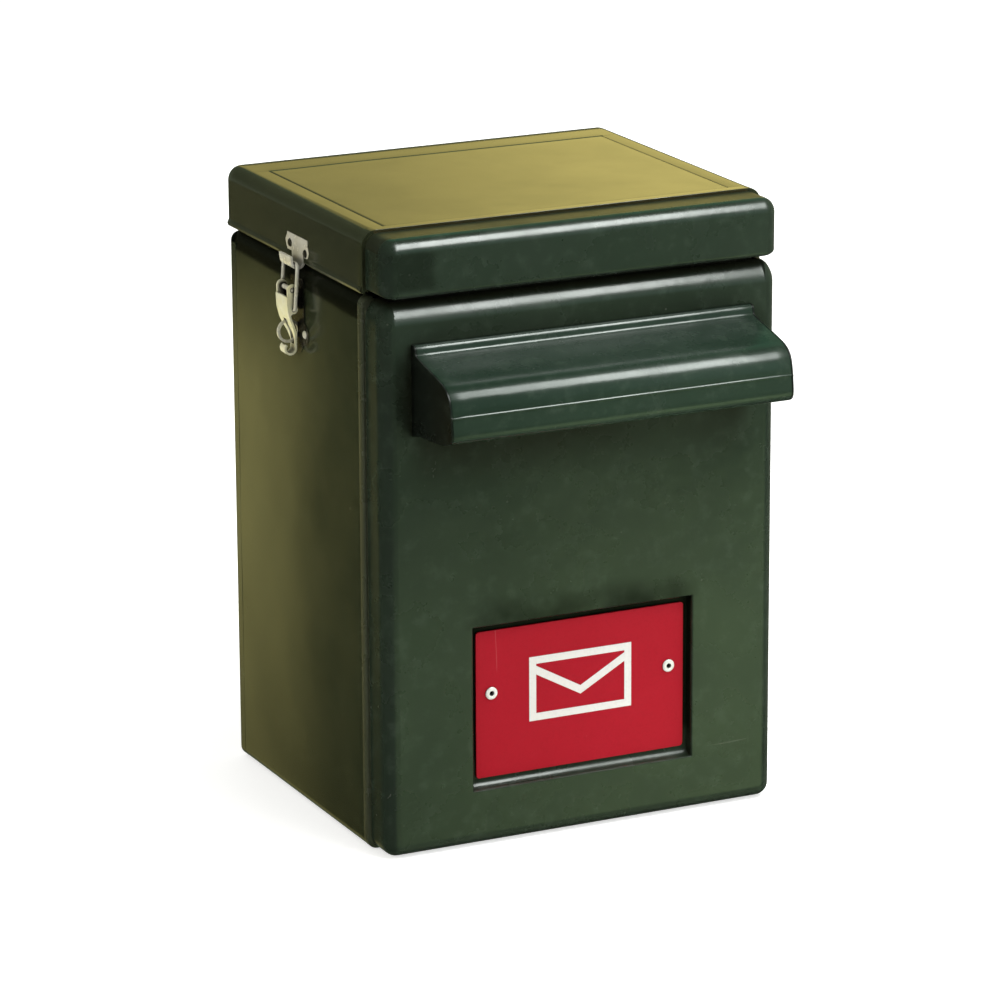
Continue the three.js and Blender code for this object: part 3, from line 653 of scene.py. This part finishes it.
# recess walls: (distance inside the edge, depth)
RECESS_WALL = [(-1.3, 0.0), (-0.7, 0.12), (-0.25, 0.5), (0.0, 1.3), (0.28, 4.6), (0.55, 5.5),
               (1.0, 5.9), (1.7, RECESS_DEPTH)]
# rolled lip below the recess's lower edge, same columns
RECESS_LIP = [(-1.2, 0.0), (-0.5, 0.15), (0.0, 0.8)]
RECESS_FILLET = RECESS_DEPTH
FILLET_LINES = (0.3, 0.8, 1.5, 2.4, 3.5, 4.7, RECESS_FILLET)


def interpolate(value, table):
    return float(np.interp(value, [row[0] for row in table], [row[1] for row in table]))


def recess_foot(distance):
    """Depth above the recess's lower edge: rolled lip, then a large fillet."""
    if distance < 0:
        return interpolate(distance, RECESS_LIP)
    rest = max(0.0, RECESS_FILLET - distance)
    return max(RECESS_LIP[-1][1], math.sqrt(RECESS_FILLET ** 2 - rest ** 2))


def recess(x, z):
    return min(interpolate(RECESS_HALF - abs(x), RECESS_WALL), recess_foot(z - RECESS_BOTTOM),
               interpolate(RECESS_TOP - z, RECESS_WALL))


def build_body_pan():
    wall_lines = [distance for distance, _ in RECESS_WALL]
    foot_lines = [distance for distance, _ in RECESS_LIP] + list(FILLET_LINES)
    x_lines = [side * (RECESS_HALF - d) for d in wall_lines for side in (-1, 1)]
    z_lines = [RECESS_TOP - d for d in wall_lines] + [RECESS_BOTTOM + d for d in foot_lines]
    Pan(half=BODY_HALF, front=0.0, bottom=BODY_BOTTOM, top=BODY_TOP, top_radius=13.0,
        bottom_radius=8.5,
        x_lines=x_lines + [-NECK_EDGE, NECK_EDGE, -SLOT_HALF, SLOT_HALF],
        z_lines=z_lines + [SLOT_BOTTOM, SLOT_TOP],
        outline=Outline(WRAP_HALF, WRAP_BOTTOM, BODY_TOP, WRAP_LOW_RADIUS, SHOULDER_WIDTH),
        open_edge="top", open_half=NECK_HALF + 0.6, swell=0.5, seed=3.1, sink=recess,
        holes=[(-SLOT_HALF, SLOT_HALF, SLOT_BOTTOM, SLOT_TOP)],
        ).build("front_pan_skin", [green_face, hem], "box", ["body_front_pan"])


def build_lid_pan():
    Pan(half=LID_HALF - 0.4, front=LID_FRONT, bottom=LID_BOTTOM + 0.2, top=LID_TOP - 0.3,
        top_radius=8.5, bottom_radius=3.2, x_lines=[-NECK_HALF, NECK_HALF], z_lines=[],
        outline=Outline(LID_HALF, LID_BOTTOM, LID_TOP, 0.6, LID_RADIUS),
        open_edge="bottom", open_half=math.inf, swell=0.35, seed=7.7, crisp=True,
        ).build("lid_pan_skin", [green_face, olive_top, flange, hem_lead], "lid",
                ["lid_front_pan"])


build_body_pan()
build_lid_pan()


# ------------------------------------------------------------------ wraps
def wrap(name, path, ys, bulge, body, materials, covers, pick, lift=lambda x, y, z: 0.0):
    """A sheet along Y. path rows are x, z, outward x, outward z; bulge moves a point outward,
    lift moves it up, and pick gives the material slot between two rows."""
    verts = []
    for y in ys:
        for x, z, out_x, out_z in path:
            out = bulge(x, y, z)
            verts.append((x + out_x * out, y, z + out_z * out + lift(x, y, z)))
    count = len(path)
    faces, face_materials = [], []
    for j in range(len(ys) - 1):
        for i in range(count - 1):
            near, far = j * count + i, (j + 1) * count + i
            faces.append((near, far, far + 1, near + 1))
            face_materials.append(pick(path[i], path[i + 1]))
    add_piece(name, verts, faces, materials, body, covers=covers, sheet=SHEET,
              face_materials=face_materials)


def shoulder(side, start, end):
    return [(side * (WRAP_HALF - SHOULDER_WIDTH) + SHOULDER_WIDTH * c,
             BODY_TOP - SHOULDER_HEIGHT + SHOULDER_HEIGHT * v)
            for c, v in arc(0, 0, 1, start, end, 12)]


def body_path():
    """Clockwise seen from the front, so its left side is outward."""
    radius = WRAP_LOW_RADIUS
    low_x, low_z = WRAP_HALF - radius, WRAP_BOTTOM + radius
    path = ([(NECK_EDGE, BODY_TOP)] + shoulder(1, 90, 0)
            + arc(low_x, low_z, radius, 0, -90, 8) + arc(-low_x, low_z, radius, -90, -180, 8)
            + shoulder(-1, 180, 90) + [(-NECK_EDGE, BODY_TOP)])
    path = refine(path, 9.0)
    return [(*p, *n) for p, n in zip(path, left_normals(path))]


def body_bulge(x, y, z):
    inside = (min(fade(y - SEAM, 20.0), fade(WRAP_BACK - y, 20.0))
              * min(fade(z - WRAP_BOTTOM - 6, 20.0),
                    fade(BODY_TOP - SHOULDER_HEIGHT - z, 20.0)))
    return 0.55 * inside * unevenness(x, y, z, 75.0, 1.3)


def left_or_rest(a, b):
    return 0 if a[0] < -100 else 1


wrap("body_wrap_skin", body_path(), fill([SEAM, WRAP_SECOND_Y, DEPTH - 7, WRAP_BACK], 8.0),
     body_bulge, "box", [olive, green], ["body_wrap"], left_or_rest)

# rolled lip along the lid's lower edge: (z, how far it stands out)
LIP = [(LID_BOTTOM + rise, out) for rise, out in (
    (0.0, 0.0), (0.35, 0.7), (1.2, 1.0), (2.1, 0.7), (2.9, 0.1), (3.6, 0.0))]
LIP_END = LID_BOTTOM + 3.7
# the lip is flat around these y on each side
LEFT_FLAT_Y, LEFT_FLAT_HALF = 117.0, 16.0
RIGHT_FLAT_YS, RIGHT_FLAT_HALF = (58.0, 162.0), 36.0
# panel groove: (distance inside the panel line, height)
PANEL_GROOVE = [(-1.6, 0.0), (-0.6, -0.45), (0.0, -0.55), (0.6, -0.15), (1.6, 0.0)]
# extra mesh lines across the groove, outward from the panel line
GROOVE_LINES_X = (-1.6, -0.8, 0.0, 0.5, 1.2)
GROOVE_LINES_Y = (-1.2, -0.5, 0.0, 0.8, 1.6)


def lid_path():
    """Drawn anticlockwise seen from the front, then reversed with its normals flipped out."""
    groove_xs = [s * (PANEL_HALF + d) for s in (-1, 1) for d in GROOVE_LINES_X]
    centre_x, centre_z = LID_HALF - LID_RADIUS, LID_TOP - LID_RADIUS
    path = ([(LID_HALF, z) for z, _ in LIP]
            + arc(centre_x, centre_z, LID_RADIUS, 0, 90, 12)
            + [(x, LID_TOP) for x in sorted(groove_xs, reverse=True)]
            + arc(-centre_x, centre_z, LID_RADIUS, 90, 180, 12)
            + [(-LID_HALF, z) for z, _ in reversed(LIP)])
    path = refine(path, 8.0)
    return [(*p, -n[0], -n[1]) for p, n in zip(path, left_normals(path))][::-1]


def lid_groove(x, y, z):
    """The pressed line on the top: a shallow groove along both sides and the back."""
    if z < LID_TOP - 3:
        return 0.0
    return interpolate(min(PANEL_HALF - abs(x), PANEL_BACK - y), PANEL_GROOVE)


def lid_bulge(x, y, z):
    if z < LIP_END:
        if x < 0:
            clear = fade(abs(y - LEFT_FLAT_Y) - LEFT_FLAT_HALF, 3.0)
        else:
            clear = min(abs(y - flat) for flat in RIGHT_FLAT_YS) > RIGHT_FLAT_HALF
        return interpolate(z, LIP) * clear
    inside = min(fade(y - SEAM, 20.0), fade(LID_BACK - y, 20.0))
    if z > LID_TOP - 1:
        inside = min(inside, fade(118 - abs(x), 25.0))
        return 0.5 * inside * unevenness(x, y, z, 85.0, 5.2) - 0.15
    swell = (0.3 * inside * unevenness(x, y, z, 60.0, 9.1)
             * fade(LID_TOP - LID_RADIUS - 2 - z, 6.0))
    # the right wall lies under the hinge leaves
    return min(swell, 0.05) if x > 0 else swell


def side_or_top(a, b):
    return 1 if min(a[1], b[1]) > LID_TOP - LID_RADIUS + 1 else 0


lid_ys = [SEAM, WRAP_SECOND_Y, LID_BACK] + [PANEL_BACK + d for d in GROOVE_LINES_Y]
wrap("lid_wrap_skin", lid_path(), fill(lid_ys, 8.0), lid_bulge, "lid", [olive_lid, olive_top],
     ["lid_wrap"], side_or_top, lid_groove)

# ------------------------------------------------------------------ hood
# hood profile from the body's face over the top, down the nose and back under: (y, z)
HOOD_PROFILE = catmull([
    (-0.3, 313.0), (-2.6, 312.8), (-4.0, 312.0), (-4.7, 310.8), (-5.1, 309.2), (-5.6, 307.9),
    (-6.8, 307.0), (-9.5, 306.2), (-12.4, 305.5), (-25.8, 302.4), (-38.6, 299.3),
    (-43.8, 297.5), (-47.3, 295.4), (-49.7, 292.9), (-51.2, 289.9), (-52.2, 286.4),
    (-52.75, 283.6), (-52.9, 282.2), (-53.35, 281.6), (-53.45, 280.8), (-53.3, 279.8),
    (-54.0, 273.0), (-53.8, 269.6), (-52.6, 267.2), (-50.0, 265.5), (-44.0, 263.6)], steps=4)
# the end plates' lower edge, back to the body: (y, z)
HOOD_END_LOWER = [(-38.0, 262.6), (-30.0, 261.9), (-20.0, 261.3), (-12.0, 260.9),
                  (-5.0, 259.4), (-0.3, 258.2)]
# end plate rings from its outer face inward, with a rolled rim: (inset, x)
HOOD_END_RINGS = [(0.45, HOOD_HALF), (0.12, HOOD_HALF - 0.12), (0.0, HOOD_HALF - 0.45),
                  (0.0, HOOD_HALF - SHEET + 0.2), (0.15, HOOD_HALF - SHEET)]


def build_hood_shell():
    half = HOOD_HALF - SHEET - 0.25
    xs = fill([-half, half], 8.0)
    verts = []
    for x in xs:
        for k, (y, z) in enumerate(HOOD_PROFILE):
            out = (0.35 * fade(half - abs(x), 15.0) * unevenness(x, y, z, 38.0, 2.2)
                   * fade(k, 6.0))
            verts.append((x, min(y - out, WALL_GAP), z + 0.5 * out))
    count = len(HOOD_PROFILE)
    faces = []
    for i in range(len(xs) - 1):
        for k in range(count - 1):
            near, far = i * count + k, (i + 1) * count + k
            faces.append((near, near + 1, far + 1, far))
    add_piece("hood_skin", verts, faces, [green_hood], "box", covers=["hood_shell"],
              sheet=SHEET)


def build_hood_end(side, label):
    line = HOOD_PROFILE + HOOD_END_LOWER
    inward = left_normals(line)
    verts = [(side * x, min(WALL_GAP, y + in_y * inset), z + in_z * inset)
             for inset, x in HOOD_END_RINGS for (y, z), (in_y, in_z) in zip(line, inward)]
    count, last = len(line), len(HOOD_END_RINGS) - 1
    faces = [tuple(range(count)), tuple(reversed(range(last * count, (last + 1) * count)))]
    for ring in range(last):
        near, far = ring * count, (ring + 1) * count
        for i in range(count):
            j = (i + 1) % count
            faces.append((near + i, far + i, far + j, near + j))
    if side > 0:
        faces = [face[::-1] for face in faces]
    add_piece(f"hood_end_{label}_plate", verts, faces, [green_end], "box",
              covers=[f"hood_end_{label}"])


build_hood_shell()
for hood_side, side_label in ((-1, "left"), (1, "right")):
    build_hood_end(hood_side, side_label)


# ------------------------------------------------------------------ envelope on the label plate
def build_envelope():
    """Four mitred border strokes and the flap, a shallow V."""
    half, bottom, top, stroke = 34.0, 72.0, 112.0, 4.6
    inner, low, high = half - stroke, bottom + stroke, top - stroke
    front = RECESS_DEPTH - 0.3 - 1.4 - 0.18
    back = front + 0.16
    outer_corners = [(-half, bottom), (half, bottom), (half, top), (-half, top)]
    inner_corners = [(-inner, low), (inner, low), (inner, high), (-inner, high)]
    shapes = []
    for i in range(4):
        j = (i + 1) % 4
        shapes.append([outer_corners[i], outer_corners[j], inner_corners[j], inner_corners[i]])
    shapes.append([(-inner, high - 1.2), (-inner, high - 6.6), (0, 84.5),
                   (inner, high - 6.6), (inner, high - 1.2), (0, 89.8)])
    verts, faces = [], []
    for shape in shapes:
        start, n = len(verts), len(shape)
        verts += [(x, y, z) for y in (front, back) for x, z in shape]
        faces.append(tuple(start + i for i in range(n)))
        faces.append(tuple(start + n + i for i in reversed(range(n))))
        for i in range(n):
            j = (i + 1) % n
            faces.append((start + i, start + n + i, start + n + j, start + j))
    add_piece("label_envelope_mark", verts, faces, [white], "box")


build_envelope()

# ------------------------------------------------------------------ carried-over CAD nodes
NODE_MATERIALS = {
    "label_plate": red, "neck_frame": neck_paint, "strike_plate": nickel,
    "latch_base": nickel_dark, "padlock_eye": nickel, "latch_lever": lever_metal,
    "strike_rivet_front": rivet_metal, "strike_rivet_rear": rivet_metal,
    "bail_wire": nickel, "lever_pivot_pin": nickel,
    "label_eyelet_left": eyelet_metal, "label_eyelet_right": eyelet_metal,
}
NODE_BEVELS = {     # edge bevel widths
    "label_plate": 0.35, "strike_plate": 0.3, "latch_lever": 0.35, "latch_base": 0.25,
    "padlock_eye": 0.6, "body_back_panel": 0.5, "lid_back_panel": 0.5, "neck_frame": 0.4,
}


def node_material(name):
    if name in NODE_MATERIALS:
        return NODE_MATERIALS[name]
    if name.startswith("hinge"):
        return steel
    return nickel if "rivet" in name else green


def dress_node(name, piece):
    mesh = piece.data
    mesh.materials.clear()
    mesh.materials.append(node_material(name))
    weld = piece.modifiers.new("weld", "WELD")
    weld.merge_threshold = 1e-6
    if name in NODE_BEVELS:
        bevel = piece.modifiers.new("edge", "BEVEL")
        bevel.width = NODE_BEVELS[name] / 1000.0
        bevel.segments = 2
        bevel.limit_method = "ANGLE"
        bevel.angle_limit = math.radians(40)
        bevel.use_clamp_overlap = True
    mesh.polygons.foreach_set("use_smooth", ["leaf" not in name] * len(mesh.polygons))
    smooth(piece, angle=28, weight=95)


for node_name, cad_node in cad_nodes.items():
    dress_node(node_name, cad_node)

# ------------------------------------------------------------------ stage
scene = bpy.context.scene
scene.view_settings.view_transform = "Standard"
scene.view_settings.look = "None"
scene.view_settings.exposure = 0.0
scene.view_settings.gamma = 1.0


def build_floor():
    """A pale floor, brighter to the camera and absent from reflections."""
    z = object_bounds()[0][2] - 0.0002
    half = 30.0
    corners = [(-half, -half, z), (half, -half, z), (half, half, z), (-half, half, z)]
    floor = link_mesh("floor", corners, [(0, 1, 2, 3)], [])
    material, g = new_material("floor_pale")
    rays = g.node("ShaderNodeLightPath").outputs
    diffuse = g.node("ShaderNodeBsdfDiffuse", {"Color": (0.90, 0.90, 0.89, 1)}).outputs[0]
    glow = g.node("ShaderNodeEmission", {"Color": (1, 1, 1, 1), "Strength": 0.62}).outputs[0]
    bright = g.node("ShaderNodeAddShader", {0: diffuse, 1: glow}).outputs[0]
    clear = g.node("ShaderNodeBsdfTransparent").outputs[0]
    seen = g.node("ShaderNodeMixShader",
                  {0: rays["Is Camera Ray"], 1: diffuse, 2: bright}).outputs[0]
    g.finish(g.node("ShaderNodeMixShader", {0: rays["Is Glossy Ray"], 1: seen, 2: clear}))
    floor.data.materials.append(material)


# tinted studio walls: (direction, colour, degrees of full strength, degrees where it ends)
STUDIO_WALLS = [
    ((0.4165, -0.90, 0.10), (0.44, 0.72, 0.58), 5, 24),     # front: hood face, front edges
    ((0.4165, 0.656, 0.63), (0.13, 0.46, 0.27), 6, 26),     # above, behind: hood top
    ((0.90, 0.10, 0.20), (0.30, 0.33, 0.24), 10, 55),       # right side
    ((-0.75, -0.60, 0.15), (0.07, 0.08, 0.06), 10, 55),     # left and front
    ((0.4165, -0.50, -0.76), (0.34, 0.46, 0.26), 8, 34),    # front and low: lower edge
    ((0.0, 0.94, -0.34), (0.20, 0.24, 0.17), 12, 42),       # behind and low
]


def build_world():
    """White to the camera, the studio walls in reflections, plain grey otherwise."""
    world = bpy.data.worlds.new("studio")
    scene.world = world
    g = Graph(world, "ShaderNodeOutputWorld")
    around = g.coordinates("Generated")
    rays = g.node("ShaderNodeLightPath").outputs
    studio = (0.055, 0.062, 0.045)
    for direction, colour, inner, outer in STUDIO_WALLS:
        facing = g.node("ShaderNodeVectorMath",
                        {0: around, 1: tuple(Vector(direction).normalized())},
                        operation="DOT_PRODUCT").outputs["Value"]
        strength = g.ramp(facing, math.cos(math.radians(outer)), math.cos(math.radians(inner)))
        studio = g.mix(strength, studio, colour)
    unseen = g.mix(rays["Is Glossy Ray"], (0.40, 0.40, 0.39), studio)
    colour = g.mix(rays["Is Camera Ray"], unseen, (1.0, 1.0, 1.0))
    g.finish(g.node("ShaderNodeBackground", {0: colour, 1: 1.0}))


build_floor()
build_world()


# ------------------------------------------------------------------ reflectors and lights
def reflector(name, y, x_range, z_range, colour, ramps):
    """An upright reflector at depth y, seen only in reflections.
    ramps rows, multiplied together: (axis, from, to, strength at from, strength at to)."""
    (x0, x1), (z0, z1) = x_range, z_range
    board = link_mesh(name, [(x0, y, z0), (x1, y, z0), (x1, y, z1), (x0, y, z1)],
                      [(0, 1, 2, 3)], [])
    material, g = new_material(name)
    at = g.xyz(g.node("ShaderNodeNewGeometry").outputs["Position"])
    strength = None
    for axis, start, end, low, high in ramps:
        part = g.ramp(at[axis], start, end, to=(low, high))
        strength = part if strength is None else g.mul(strength, part)
    g.finish(g.node("ShaderNodeEmission", {"Color": rgba(colour), "Strength": strength}))
    board.data.materials.append(material)
    for ray in ("camera", "diffuse", "transmission", "volume_scatter", "shadow"):
        setattr(board, f"visible_{ray}", False)


def softbox(name, direction, distance, size, watts, colour=(1, 1, 1),
            target=(0, -0.106, 0.18), roll=0.0, gloss=False):
    """An area light aimed at target; gloss lights show only in reflections, others never."""
    light = bpy.data.lights.new(name, "AREA")
    light.shape = "RECTANGLE"
    light.size, light.size_y = size
    light.energy = watts
    light.color = colour
    lamp = bpy.data.objects.new(name, light)
    scene.collection.objects.link(lamp)
    away = Vector(direction).normalized()
    lamp.location = Vector(target) + away * distance
    lamp.rotation_euler = away.to_track_quat("Z", "Y").to_euler()
    lamp.rotation_euler.rotate_axis("Z", roll)
    lamp.visible_camera = False
    lamp.visible_glossy = gloss
    lamp.visible_diffuse = not gloss


reflector("reflector_back", 0.5, (0.02, 0.62), (0.40, 0.80), (1.0, 0.83, 0.25), [
    ("X", 0.12, 0.46, 0.75, 1.55), ("Z", 0.545, 0.625, 1.0, 0.62),
    ("Z", 0.40, 0.47, 0.0, 1.0), ("Z", 0.80, 0.68, 0.0, 1.0)])
reflector("reflector_left", 0.15, (-0.42, -0.14), (-0.25, 0.34), (0.84, 0.75, 0.27), [
    ("X", -0.273, -0.192, 0.05, 1.03), ("X", -0.14, -0.17, 0.0, 1.0),
    ("Z", 0.305, 0.190, 0.10, 1.0), ("Z", -0.08, 0.13, 0.55, 1.0)])
reflector("reflector_front", -0.8, (-0.25, 0.75), (-0.46, 0.085), (1.0, 1.42, 0.66), [
    ("X", 0.10, 0.42, 0.42, 1.08), ("Z", 0.064, -0.034, 0.02, 0.95),
    ("Z", 0.0, -0.16, 0.94, 1.06), ("Z", -0.46, -0.36, 0.0, 1.0)])
reflector("reflector_front_high", -0.8, (-0.25, 0.75), (0.085, 0.36), (0.92, 1.46, 0.80), [
    ("X", 0.12, 0.42, 0.36, 0.56), ("Z", 0.085, 0.20, 0.06, 0.56),
    ("Z", 0.36, 0.28, 0.0, 1.0)])

softbox("strip_top", (0.4165, -0.523, 0.744), distance=1.0, size=(0.32, 0.72), watts=17.0,
        colour=(0.95, 1.0, 0.97), target=(-0.02, -0.217, 0.36), roll=-0.536, gloss=True)
softbox("key_top", (0.30, -0.35, 0.90), distance=2.2, size=(1.5, 0.9), watts=42.0)
softbox("fill_front", (0.75, -0.9, 0.25), distance=1.6, size=(1.2, 1.2), watts=9.0,
        colour=(0.95, 1.0, 0.97))
softbox("fill_back", (0.25, 0.9, 0.20), distance=2.2, size=(1.2, 1.2), watts=7.0,
        colour=(0.95, 1.0, 0.94))
softbox("fill_left", (-0.9, 0.15, 0.35), distance=2.4, size=(1.4, 1.4), watts=13.0,
        colour=(1.0, 0.96, 0.82))

# ------------------------------------------------------------------ camera
CAMERA_PLACE = (-1259.57, -2503.87, 1017.45)        # mm
# degrees: turned from +Y towards +X, looking down, rolled
AZIMUTH, PITCH, ROLL = (math.radians(a) for a in (25.692, 16.141, -0.293))


def build_camera():
    data = bpy.data.cameras.new("camera")
    camera = bpy.data.objects.new("camera", data)
    scene.collection.objects.link(camera)
    data.sensor_fit = "HORIZONTAL"
    data.sensor_width = 36.0
    data.lens = 178.36
    data.clip_start, data.clip_end = 0.1, 200.0
    view = Vector((math.sin(AZIMUTH) * math.cos(PITCH), math.cos(AZIMUTH) * math.cos(PITCH),
                   -math.sin(PITCH)))
    level = Vector((math.cos(AZIMUTH), -math.sin(AZIMUTH), 0))
    upright = level.cross(view)
    right = level * math.cos(ROLL) + upright * math.sin(ROLL)
    up = -level * math.sin(ROLL) + upright * math.cos(ROLL)
    rows = zip(right, up, -view, to_row_frame(CAMERA_PLACE))
    camera.matrix_world = Matrix((*rows, (0, 0, 0, 1)))
    scene.camera = camera


build_camera()
